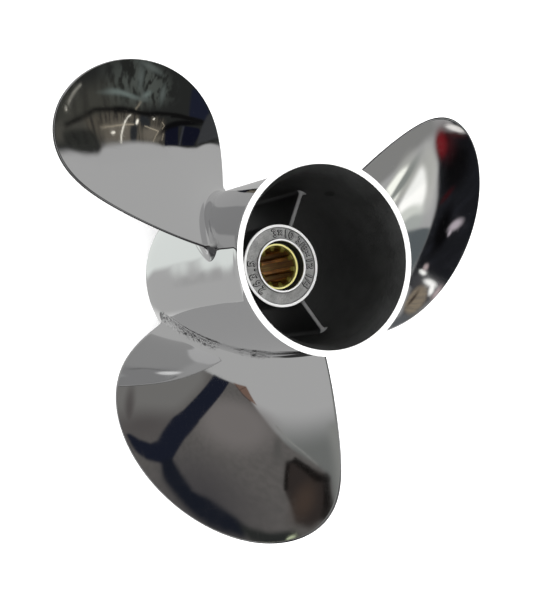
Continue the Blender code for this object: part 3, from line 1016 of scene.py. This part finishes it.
# What the polished steel mirrors: a hall round the table. Each panel has a linear colour, a softness
# (for an oval, a share of its size) and its shapes, whose places are (azimuth, elevation) in degrees.
# Later panels lie over earlier ones.
PANELS = [
    ("left floor", (0.33, 0.33, 0.33), 0.03, patch((140, -28), (140, 6), (176, 6), (176, -28))),
    ("side floor", (0.40, 0.40, 0.395), 0.03,
     patch((-172, -50), (-95, -50), (-95, -36), (-140, -6), (-172, -6))),
    ("front floor", (0.33, 0.33, 0.33), 0.06, patch((-100, -54), (-45, -54), (-45, -30), (-100, -36))),
    ("pale floor", (0.62, 0.62, 0.615), 0.012,
     patch((-137, -19), (-124, -25.5), (-112, -28.5), (-100, -27), (-100, -6), (-134, -6))),
    ("bright floor", (0.84, 0.88, 0.85), 0.045,
     patch((-150, -50), (-80, -50), (-70, -59.5), (-80, -62.7), (-90, -64.7), (-100, -65.9), (-110, -66.4),
           (-130, -65.4), (-150, -61))
     + patch((160, -52), (-112, -55), (-112, -78), (150, -80))),
    ("white floor", (0.80, 0.80, 0.79), 0.06,
     patch((-42, -85), (-42, -22), (20, -18), (95, -34), (95, -85))),
    ("floor smudge", (0.42, 0.42, 0.415), 0.8,
     oval((-86.6, -64.2), (-84.5, -63.7), (-79.9, -64.2))
     + oval((-83.6, -64.7), (-82.3, -64.5), (-79.5, -64.7))),
    ("floor fold", (0.19, 0.19, 0.19), 0.006,
     strip(0.9, (-95.3, -47.2), (-98.6, -44.4), (-98.3, -42.2), (-96.4, -40.3), (-93.1, -36.9))
     + strip(0.9, (-59.7, -39), (-64.5, -38.1), (-70.7, -37.3), (-75.3, -36.5), (-82.3, -36.5))),
    ("floor gleam", (1.05, 1.05, 1.04), 0.4,
     oval((-90, -38.6), (-89.5, -35.9), (-86.5, -39.2))),
    ("dim floor", (0.176, 0.183, 0.176), 0.12,
     patch((-114, 50.5), (-60, 51.5), (-56, 80), (-104, 74))),
    ("light fold", (0.282, 0.287, 0.272), 0.004,
     strip(0.4, (-108.6, 51.1), (-105.4, 54.1), (-102.2, 56.9), (-98.4, 59.5), (-95.2, 61.9), (-92, 64.2))),
    ("brown wall", (0.138, 0.129, 0.123), 0.012,
     patch((-146, 25.5), (-140, 27.9), (-130.6, 31.3), (-122.4, 35.2), (-114.6, 43), (-111, 47.6),
           (-107, 52), (-102.6, 56), (-98.4, 59), (-95, 61.6), (-91.8, 64), (-86, 66), (-84, 84),
           (170, 70), (176, 25), (-165, 18))),
    ("lit wall", (0.203, 0.187, 0.18), 0.45,
     oval((-129.3, 47.9), (-141.6, 39.5), (-139.6, 52.2))),
    ("wall shade", (0.0736, 0.0693, 0.0714), 1,
     oval((-146, 64.1), (-130, 70.7), (-139.6, 59.5))),
    ("wall fold", (0.103, 0.1, 0.0951), 0.8,
     oval((-110.1, 57.9), (-108.8, 55.1), (-108.5, 58.4))),
    ("edge floor", (0.0464, 0.0447, 0.0431), 0.006,
     patch((-90.6, 66.3), (-90.8, 68.8), (-92.6, 72.5), (-94.5, 75), (-86, 76), (-86.6, 71),
           (-86.4, 66.3))),
    ("edge light", (0.272, 0.277, 0.263), 0.035,
     patch((-82.5, 54), (-84, 64), (-85.4, 70), (-83, 76), (-62, 77), (-66, 54))),
    ("side wall", (0.195, 0.191, 0.183), 0.06,
     patch((176, 28), (-148, 20), (-143, 30), (-158, 47), (-178, 49))),
    ("side shade", (0.103, 0.0951, 0.0925), 0.9,
     oval((-165.1, 47.7), (-154.9, 45.7), (-167, 44))
     + oval((-171.1, 43.3), (-169.4, 49.3), (-169.7, 43.2))),
    ("navy beam", (0.0123, 0.0148, 0.0262), 0.007,
     patch((-153, 43.8), (-139.7, 27.8), (-131.3, 31.5), (-137.2, 38.8), (-146, 46.8))
     + patch((-157.8, 48.2), (-155.8, 45.2), (-151.6, 42.5), (-144.7, 45.9), (-151, 51.8))
     + patch((-160.8, 52), (-156.6, 46.4), (-148.5, 49.1), (-153.3, 54.4), (-155.6, 55.9))
     + patch((-163.8, 54.8), (-163.2, 52), (-159.4, 51.1), (-154.2, 54.4), (-156.2, 56.9), (-159.3, 56.3))
     + patch((-166.8, 52.1), (-166.5, 51), (-162.2, 52.1), (-159.3, 56.2), (-164.7, 55.1))
     + patch((-170.5, 49.8), (-169.5, 49.6), (-166, 51.2), (-164.2, 55.1), (-167.1, 53.8), (-169.1, 51.8))),
    ("navy band", (0.0116, 0.014, 0.0216), 0.012,
     patch((-159.9, 57.5), (-159.6, 55.7), (-155.3, 55.2), (-152.4, 58.9), (-154.7, 63.2), (-159.1, 59.8))
     + patch((-158.6, 60), (-157.3, 57.7), (-152.9, 58.4), (-149, 62.5), (-152, 65.9))
     + patch((-153.2, 65), (-152.5, 60.9), (-149, 62.4), (-143.8, 64.4), (-144.9, 69.1), (-148.6, 67.9))
     + patch((-147.4, 68.5), (-145.8, 63.5), (-143.8, 64.4), (-138.7, 67.1), (-132.6, 70.4),
           (-131.5, 71.8), (-133.7, 73))),
    ("band end", (0.0262, 0.0287, 0.0274), 0.012,
     patch((-134.5, 70.1), (-121, 73), (-110.3, 74.3), (-107.2, 76.2), (-122.1, 75.1), (-132.5, 73.1))),
    ("brown patch", (0.187, 0.12, 0.0925), 0.005,
     patch((-129.2, 31.9), (-121.9, 34), (-117.1, 42.5), (-120.1, 40.7), (-125.2, 36.3))),
    ("patch edge", (0.0464, 0.0262, 0.0216), 0.004,
     strip(0.25, (-128.2, 32.8), (-125.9, 35.5), (-123.9, 37.9), (-120.2, 40.7))
     + strip(0.2, (-125.9, 35.5), (-122.4, 34.3))),
    ("doorway", (0.0355, 0.0287, 0.0262), 0.008,
     patch((-111, 67.1), (-107.8, 61.2), (-101.8, 61.4), (-86.1, 67.3), (-89.7, 73.7), (-101.1, 75.3),
           (-109.7, 73.5))),
    ("door frame", (0.00945, 0.00817, 0.00757), 0.006,
     strip(1.5, (-102.7, 61.6), (-97.7, 64.3), (-93.4, 66.9), (-88.3, 67.8))
     + strip(1.2, (-88.5, 67.4), (-90, 71.2), (-93.3, 74.3))
     + strip(0.8, (-109.9, 66.9), (-107.7, 63.4), (-106.3, 61.6), (-101.9, 61.6))),
    ("door glow", (0.0651, 0.0464, 0.0369), 0.8,
     oval((-102.7, 70.2), (-109.6, 72), (-105.1, 68.4))),
    ("door lamp", (0.696, 0.781, 0.508), 0.3,
     oval((-112.5, 75.3), (-109.9, 75.4), (-112.5, 75.5))),
    ("right wall", (0.277, 0.277, 0.268), 0.025,
     patch((59.5, -10), (75, -10), (72, 27), (63.6, 27.5), (60.4, 20), (58, 8))),
    ("wall lamp", (0.602, 0.602, 0.572), 0.5,
     oval((53.8, 28.6), (60.4, 26.1), (53.3, 30.3))),
    ("window halo", (0.508, 0.515, 0.475), 0.5,
     oval((55, 18.7), (60, 21.8), (57.5, 14.7))
     + oval((50.5, 25.2), (59.9, 25.6), (49.4, 28.9))),
    ("low window", (1.27, 1.29, 1.18), 0.02,
     patch((49.9, 18.2), (51.3, 15.3), (55.3, 11.7), (57.5, 14.4), (59, 17.7), (59, 19.7), (58.6, 20.6),
           (56.1, 20))),
    ("window", (1.35, 1.35, 1.29), 0.022,
     patch((43, 25.8), (44.2, 23.4), (47.7, 20.2), (50.4, 20.7), (57.6, 24.6), (57.3, 25.5),
           (54.7, 27.3), (52.2, 28.4), (49.8, 29.1), (47.3, 29.2), (45, 28.6), (43.5, 27.2))),
    ("valley", (0.292, 0.312, 0.292), 0.5,
     oval((54.8, 18.8), (59.7, 22.9), (54.2, 20.2))),
    ("window sill", (0.781, 0.807, 0.746), 0.4,
     oval((45.3, 25.7), (47.5, 28.9), (43.5, 27.9))),
    ("lit sill", (0.475, 0.502, 0.475), 0.35,
     oval((42.8, 27.7), (45.1, 30), (41.3, 29.6))),
    ("room sill", (0.12, 0.138, 0.145), 0.012,
     patch((26.7, 36.3), (33.4, 30.3), (39.7, 25.8), (42.2, 32), (42.1, 33.8))),
    ("room", (0.0123, 0.0131, 0.0157), 0.009,
     patch((49.4, 32.3), (60, 28.1), (62.9, 28.1), (63.5, 28.6), (63, 32.4), (62.7, 33.7), (60.2, 36.3),
           (49.2, 40.8))
     + patch((24.3, 37.5), (30.1, 36), (34.5, 35), (39.1, 34.1), (54.3, 31), (52, 39.5), (43.3, 43.3),
           (25.2, 47.3))
     + patch((44, 38), (50, 35.8), (58, 33.5), (62, 31), (68, 28), (75, 30), (75, 50), (40, 50))),
    ("room dark", (0.00369, 0.00369, 0.0041), 0.5,
     oval((56.4, 33.9), (61.2, 33.9), (56, 36.6))
     + oval((42.1, 37), (47.7, 36), (41.9, 38.6))),
    ("red shade", (0.0399, 0.00593, 0.00757), 0.9,
     oval((61.4, 29.9), (58.1, 30.7), (61.4, 31.8))
     + oval((62.6, 31.5), (62.2, 33.5), (63.1, 31.6))
     + oval((50.1, 34.2), (51.9, 34.9), (49.9, 34.6))),
    ("red crate", (0.195, 0.0157, 0.0206), 0.7,
     oval((61.1, 29.1), (58.6, 29.8), (61.3, 30.3))),
    ("tip light", (1.02, 0.987, 0.947), 0.45,
     oval((63.6, 31.8), (62.8, 33.7), (63.2, 31.7))),
    ("room lamp", (0.529, 0.475, 0.515), 0.6,
     oval((44.2, 39.1), (46, 39.8), (43.6, 39.7))
     + oval((42.1, 38.8), (41.1, 38.8), (42, 39.1))),
    ("room end", (0.0611, 0.0611, 0.0651), 0.02,
     patch((10.5, 44.7), (13.2, 43.6), (27.6, 36.7), (29.6, 38.3), (31, 45.4), (16.7, 45.6))),
    ("end grey", (0.12, 0.126, 0.132), 0.6,
     oval((13.6, 44.4), (19.8, 45.6), (13.1, 45.9))),
    ("beige wall", (0.292, 0.24, 0.176), 0.25,
     oval((22, 42.7), (26.7, 41.5), (22.4, 44.8))),
    ("beige seam", (0.0651, 0.0499, 0.0399), 0.6,
     oval((21.9, 41.9), (24.9, 41.3), (21.9, 42.3))),
    ("low lamp", (1.32, 1.32, 1.27), 0.5,
     oval((28.4, 42.2), (28.6, 43.8), (27.5, 42.4))
     + oval((30.1, 38.9), (30.2, 39.9), (29.4, 39.2))
     + oval((27.2, 43.5), (25.5, 44.2), (27.5, 44))),
    ("lamp blush", (0.543, 0.443, 0.443), 0.7,
     oval((27.3, 45), (25.3, 45.3), (27.4, 45.5))
     + oval((31.8, 38.7), (32.8, 38.5), (31.8, 39.3))),
    ("dark hall", (0.0238, 0.025, 0.0238), 0.01,
     patch((84, -7.5), (105.3, -10.6), (109, -8.4), (112.5, -4.9), (115.8, -0.7), (124, 11.2),
           (127.2, 18.2), (131, 27), (131, 42), (88, 40))
     + patch((129.5, 28), (131, 26.8), (140, 27), (150, 30), (150, 44), (129, 42))),
    ("hall middle", (0.0611, 0.0611, 0.0516), 0.6,
     oval((120, 18.3), (112.6, 9.6), (118, 19.1))),
    ("hall cloud", (0.0876, 0.0977, 0.0876), 0.6,
     oval((112.4, 13.3), (107.5, 9.2), (111, 17))),
    ("left wall", (0.0828, 0.0804, 0.0693), 0.5,
     oval((126.3, 22.5), (123.8, 18.5), (125, 22.7))),
    ("brown hall", (0.103, 0.0925, 0.0736), 0.016,
     patch((111.6, 3.1), (116.3, -2.2), (124.4, 11.2), (127.4, 18.2), (124.1, 20.9), (121.6, 18.1))),
    ("hall light", (0.165, 0.148, 0.12), 0.6,
     oval((121.3, 12.1), (118.9, 8.2), (119.9, 12.8))
     + oval((116.3, 3.9), (114, 1.2), (115.2, 5))),
    ("hall post", (0.0262, 0.0287, 0.0313), 0.4,
     oval((119.6, 8.9), (121.4, 8.1), (118.9, 8))
     + oval((116, 7.6), (116.1, 5.8), (114.9, 7.1))),
    ("navy doors", (0.007, 0.00817, 0.0175), 0.005,
     patch((108.6, -0.2), (111.3, -5.5), (115.2, -1.4), (112.1, 1.9))
     + patch((102.3, -5.4), (106.2, -9.2), (110.4, -6.3), (107.2, -1.4), (102.5, -3.7))),
    ("door jambs", (0.0464, 0.0499, 0.0611), 0.006,
     strip(0.5, (107.3, -1.4), (108.8, -3.3), (110.8, -5.6))
     + strip(0.35, (109.1, -0.1), (107.3, -1.5))),
    ("upper navy", (0.014, 0.0166, 0.0313), 0.008,
     patch((97.8, 0.6), (99.7, -1.4), (104.7, 0.8), (102, 8.5), (100.5, 7.8))),
    ("hall beam", (0.00646, 0.00646, 0.00646), 0.006,
     strip(0.55, (126.4, 23.8), (125.5, 22.9), (124.4, 21.6), (123.4, 20.5), (121.9, 19.1),
           (120.4, 16.8), (119.1, 14.8))
     + strip(0.9, (119.3, 15), (117.8, 12.6), (116.3, 10.3), (114.1, 7.5), (111.4, 4.9), (108.3, 2.6))
     + strip(1.4, (109, 2.9), (105, 0.4), (102.1, -1), (99.8, -2))),
    ("dark strip", (0.00497, 0.00497, 0.00544), 0.5,
     oval((107.8, -0.2), (100.8, -2.7), (108.2, -1))),
    ("right zone", (0.0464, 0.0481, 0.0516), 0.007,
     patch((94.1, 2.8), (94.5, -5.8), (100.5, -9), (105.1, -9.4), (98.6, 1.2))),
    ("haze", (0.187, 0.227, 0.211), 0.95,
     oval((116.3, 14.7), (114.2, 11.6), (116.2, 15.1))
     + oval((112.7, 11.2), (111.6, 10.9), (112.7, 10.7))),
    ("soft haze", (0.114, 0.132, 0.123), 1,
     oval((109.3, 8.9), (110.3, 7.4), (108.7, 8.7))
     + oval((113.5, 10.9), (112.6, 9.9), (113.7, 10.7))
     + oval((109.6, 15.1), (108.2, 13.2), (110, 14.8))
     + oval((112.1, 14.6), (113.2, 13.3), (111.7, 14.2))),
    ("light floor", (0.462, 0.462, 0.457), 0.011,
     patch((122.8, 11.1), (126.2, 11.1), (129.2, 18.1), (126.2, 17), (125.6, 16.5))
     + patch((119.6, 5.8), (121.8, 2.9), (126.8, 12.5), (123.7, 12.8))
     + patch((114.7, -4.1), (116.8, -5.2), (123.6, 6.4), (120.6, 7.3), (115.6, -0.7))),
    ("hall recess", (0.0313, 0.0326, 0.0287), 0.01,
     patch((124.6, 18.3), (125.8, 17), (126.9, 17.2), (127.7, 18.2), (128.7, 20.3), (129, 21.8),
           (128.9, 23.2), (128.2, 24), (127.3, 24.1), (125.5, 21.4))),
    ("left gleam", (0.191, 0.203, 0.191), 0.5,
     oval((128.2, 26.2), (129.6, 27.4), (127.6, 25.7))),
    ("hall tubes", (1.29, 1.25, 1.09), 0.0022,
     strip(0.18, (117.7, 11.2), (118.5, 11.6), (119.5, 11.8))
     + strip(0.32, (119.3, 11.8), (120.7, 11.9), (121.7, 11.9), (122.8, 11.7))
     + strip(0.07, (124.1, 24), (123.2, 23.7), (122.1, 23.3), (120.9, 22.8))),
    ("hall rails", (0.587, 0.515, 0.388), 0.0022,
     strip(0.13, (123.5, 17.1), (122, 14.7), (120.4, 12.5), (118.4, 9.5))
     + strip(0.15, (116.7, 6.9), (115.7, 5.1), (114.5, 2.9))
     + strip(0.13, (114.5, 2.9), (115.7, 2.9), (117.2, 2.6))
     + strip(0.12, (113.7, 1.1), (115, 0.5))
     + strip(0.14, (114.4, 11.2), (115.4, 11), (116.2, 11))
     + strip(0.12, (112.5, 3.3), (112.4, 2.2), (113.4, 2.2))),
    ("hall spots", (1.35, 1.29, 1.12), 0.5,
     oval((122.6, 14.1), (122.3, 13.6), (122.8, 14.1))
     + oval((117.5, 9.1), (118, 9), (117.4, 8.8))
     + oval((113.9, 5.9), (113.6, 5.7), (114, 5.8))
     + oval((124.7, 24.2), (124.5, 24.2), (124.7, 24.1))),
    ("top box", (1.1, 1.1, 1.1), 0.06, patch((76, 54), (118, 54), (128, 76), (66, 76))),
    ("left strip light", (0.9, 0.9, 0.89), 0.03, patch((-46, -46), (-36, -46), (-36, -9), (-46, -9))),
    ("edge drape", (0.04, 0.04, 0.04), 0.05,
     patch((-30, -45), (-6, -45), (6, 30), (6, 66), (-30, 66))
     + patch((120, 44), (142, 40), (142, 62), (120, 60))
     + patch((-64, 74), (-55, 66), (-10, 62), (20, 66), (60, 72), (20, 86), (-50, 84))),
    ("drape", (0.05, 0.05, 0.052), 0.03, patch((6, -70), (18, -70), (15, 20), (7, 20))),
    ("back drape", (0.06, 0.06, 0.062), 0.03, patch((148, -60), (166, -60), (162, -32), (151, -32))),
]

# Panels that aren't even: the second colour, and the streaks that it lies in
UNEVEN = {
    "hall cloud": ((0.020, 0.021, 0.019), ((113, 12), -50, 46.0, 20.0), (0.45, 0.55)),
    "hall middle": ((0.040, 0.039, 0.034), ((118, 14), -40, 26.0, 8.0), (0.45, 0.62)),
    "brown hall": ((0.030, 0.028, 0.025), ((118, 10), -35, 84.0, 14.0), (0.46, 0.58)),
    "hall recess": ((0.020, 0.020, 0.019), ((126, 21), -35, 60.0, 30.0), (0.45, 0.60)),
    "room": ((0.018, 0.019, 0.024), ((45, 38), 20, 30.0, 8.0), (0.45, 0.70)),
    "beige wall": ((0.215, 0.185, 0.145), ((18, 43), 60, 70.0, 14.0), (0.45, 0.60)),
    "brown wall": ((0.118, 0.112, 0.106), ((-130, 50), 60, 60.0, 34.0), (0.36, 0.66)),
    "window": ((1.16, 1.17, 1.12), ((50, 23), 60, 9.0, 3.0), (0.40, 0.70)),
}


def build_world():
    """Plain pale light on everything, and the hall for what the steel mirrors."""
    world = bpy.data.worlds.new("studio")
    bpy.context.scene.world = world
    world.use_nodes = True
    world.cycles.sampling_method = "NONE"
    graph = Graph(world.node_tree)
    towards = graph.add("ShaderNodeTexCoord")
    shade = HALL_SHADE
    groups = SimpleNamespace(straight=four_edges(), round=round_edge())
    for name, colour, softness, shapes in PANELS:
        mask = panel_mask(graph, groups, towards, shapes, softness)
        panel = colour
        if name in UNEVEN:
            second, (middle, slope, fine, coarse), (low, high) = UNEVEN[name]
            share = streaks(graph, towards, middle, slope, fine, coarse).step(low, high)
            panel = graph.blend(share, colour, second)
        shade = graph.blend(mask, shade, panel)
    overhead = graph.add("ShaderNodeSeparateXYZ", None, towards).other("Z").step(0.45, 0.9)
    paper = graph.blend(overhead, PAPER_SIDES, PAPER_TOP)
    paper = graph.add("ShaderNodeBackground", None, paper, 1.0)
    hall = graph.add("ShaderNodeBackground", None, shade, 1.0)
    mirrored = graph.add("ShaderNodeLightPath").other("Is Glossy Ray")
    seen = graph.add("ShaderNodeMixShader", None, mirrored, paper, hall)
    graph.add("ShaderNodeOutputWorld", None, seen)


def build_lights():
    light = bpy.data.lights.new("overhead", "AREA")
    light.shape = "DISK"
    light.size = LAMP_SIZE
    light.energy = LAMP_ENERGY
    lamp = bpy.data.objects.new("overhead", light)
    lamp.location = LAMP_PLACE
    lamp.rotation_euler = (Vector(LAMP_TARGET) - lamp.location).to_track_quat("-Z", "Y").to_euler()
    lamp.visible_glossy = False
    bpy.context.scene.collection.objects.link(lamp)


def build_camera():
    data = bpy.data.cameras.new("camera")
    data.sensor_fit = "VERTICAL"
    data.sensor_height = SENSOR
    data.lens = CAMERA_LENS
    data.clip_start = 0.01
    camera = bpy.data.objects.new("camera", data)
    camera.location = CAMERA_PLACE
    camera.rotation_euler = Euler([radians(angle) for angle in CAMERA_TURN], "XYZ")
    bpy.context.scene.collection.objects.link(camera)
    bpy.context.scene.camera = camera


class Looks:
    """One finish for each surface."""

    def __init__(self):
        self.steel = polished_steel()
        self.blade = blade_steel()
        self.machined = machined_steel()
        self.dark = dark_casting()
        self.inside = barrel_inside()
        self.rib = rib_steel()
        self.cast = cast_face()
        self.rubber = black_rubber()
        self.brass = brass()


def main():
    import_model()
    cad_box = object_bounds()
    bpy.context.scene.view_settings.view_transform = "Standard"
    build_camera()
    looks = Looks()
    build_barrel(looks)
    build_blades(looks)
    build_hub(looks)
    build_numbers(looks)
    build_ribs(looks)
    build_bush(looks)
    build_sleeve(looks)
    build_floor()
    build_world()
    build_lights()
    boxes = {"cad": cad_box, "visual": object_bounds()}
    boxes = {name: [list(corner) for corner in box] for name, box in boxes.items()}


main()
